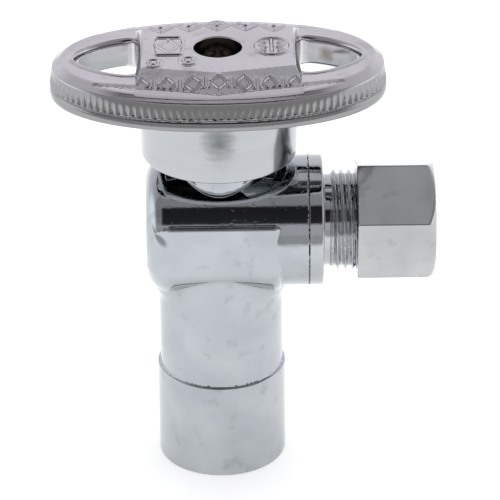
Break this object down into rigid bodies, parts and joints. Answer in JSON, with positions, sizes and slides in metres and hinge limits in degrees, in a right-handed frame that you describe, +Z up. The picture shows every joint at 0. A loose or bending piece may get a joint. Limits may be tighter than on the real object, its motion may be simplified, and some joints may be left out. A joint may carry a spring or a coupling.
{
  "type": "angle stop valve",
  "caption": "Chrome quarter-turn angle stop valve with a solder socket inlet below, a side compression outlet and an oval handle with finger windows.",
  "frame": {"origin": "centre of the inlet socket's bottom face, on the inlet axis", "axes": "+Z up the inlet leg to the stem and handle, +X out of the outlet, Y across the barrel"},
  "size_m": [0.0537, 0.0272, 0.0642],
  "materials": {
    "body_chrome": "polished chrome over brass, slightly hazy",
    "retainer_chrome": "polished chrome over brass",
    "nut_chrome": "polished chrome over brass",
    "handle_chrome": "bright chrome over a die casting",
    "ball_chrome": "mirror chrome",
    "brass": "machined, bare",
    "ptfe": "waxy white",
    "rubber": "black nitrile",
    "screw_steel": "dull plated steel"
  },
  "bodies": {
    "valve": {"valve_body": "body_chrome", "seat_back": "ptfe", "seat_outlet": "ptfe", "outlet_retainer": "retainer_chrome", "retainer_o_ring": "rubber"},
    "handle": {"handle": "handle_chrome", "handle_screw": "screw_steel", "stem": "brass", "stem_thrust_washer": "ptfe", "stem_o_ring_lower": "rubber", "stem_o_ring_upper": "rubber", "ball": "ball_chrome"},
    "ferrule": {"ferrule": "brass"},
    "nut": {"compression_nut": "nut_chrome"}
  },
  "joints": [
    {"name": "handle_turn", "type": "hinge", "parent": "valve", "child": "handle", "pos_m": [0, 0, 0.03686], "axis": [0, 0, 1], "range_deg": [-90, 0]},
    {"name": "nut_advance", "type": "slide", "parent": "valve", "child": "ferrule", "axis": [1, 0, 0], "range_m": [0, 0.0053]},
    {"name": "nut_turn", "type": "hinge", "parent": "ferrule", "child": "nut", "pos_m": [0.025, 0, 0.03686], "axis": [1, 0, 0], "range_deg": [0, 1800]}
  ],
  "couplings": [
    {"joint": "nut_advance", "follows": "nut_turn", "m_per_rad": 0.00016844}
  ]
}
